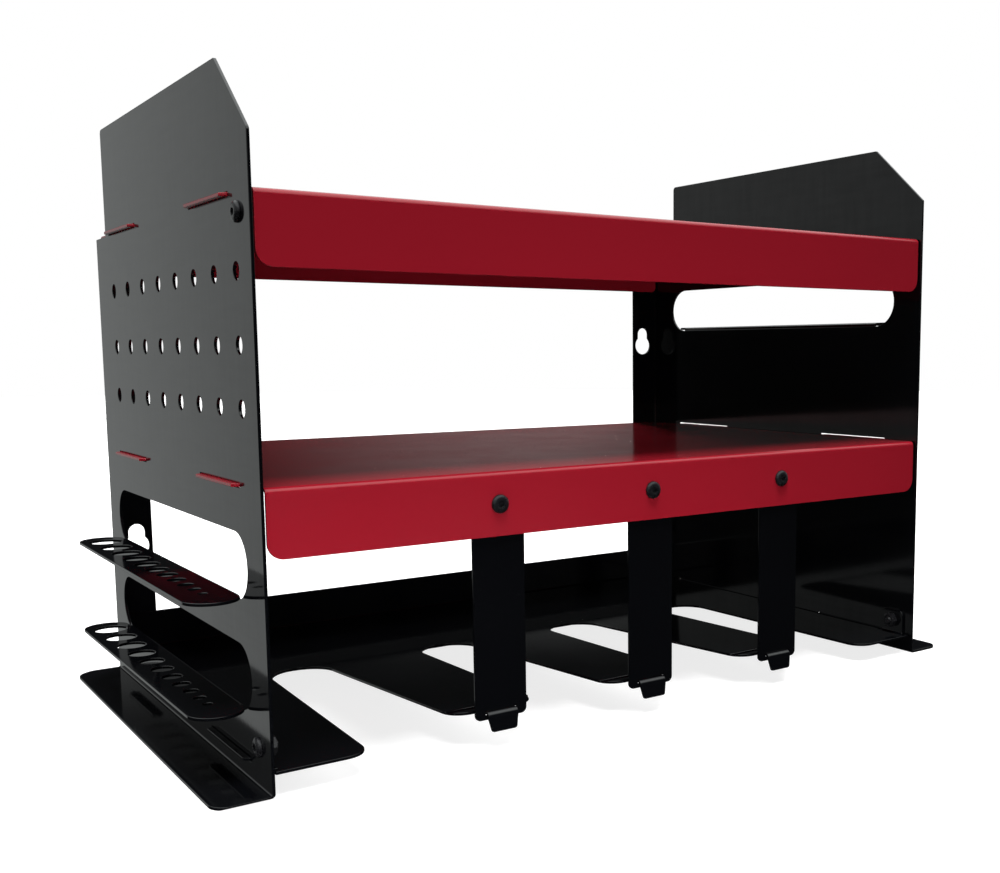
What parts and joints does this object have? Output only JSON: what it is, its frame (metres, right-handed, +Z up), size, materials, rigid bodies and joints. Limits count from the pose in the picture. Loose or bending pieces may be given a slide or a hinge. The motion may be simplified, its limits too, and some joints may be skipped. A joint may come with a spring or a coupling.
{
  "type": "power tool rack",
  "caption": "Folded steel tool rack with red shelves, a slotted drill tray hung on straps, a side panel of peg holes and graded tool racks, and keyholed rear flanges.",
  "frame": {"origin": "on the floor under the middle of the rack's outer box", "axes": "+X to the rack's right as seen from in front, +Y from the front to the wall, +Z up"},
  "size_m": [0.463, 0.2682, 0.315],
  "materials": {
    "black_paint": "gloss black powder coat",
    "red_paint": "gloss deep red powder coat",
    "black_screw": "black oxide steel"
  },
  "bodies": {
    "root": {"side_panel_left": "black_paint", "side_panel_right": "black_paint", "top_shelf": "red_paint", "middle_shelf": "red_paint", "drill_tray": "black_paint", "strap_left": "black_paint", "strap_screw_left": "black_screw", "strap_nut_left": "black_screw", "strap_center": "black_paint", "strap_screw_center": "black_screw", "strap_nut_center": "black_screw", "strap_right": "black_paint", "strap_screw_right": "black_screw", "strap_nut_right": "black_screw", "shelf_screw_left": "black_screw", "shelf_nut_left": "black_screw", "shelf_screw_right": "black_screw", "shelf_nut_right": "black_screw", "tray_screw_left": "black_screw", "tray_nut_left": "black_screw", "tray_screw_right": "black_screw", "tray_nut_right": "black_screw"}
  },
  "joints": []
}
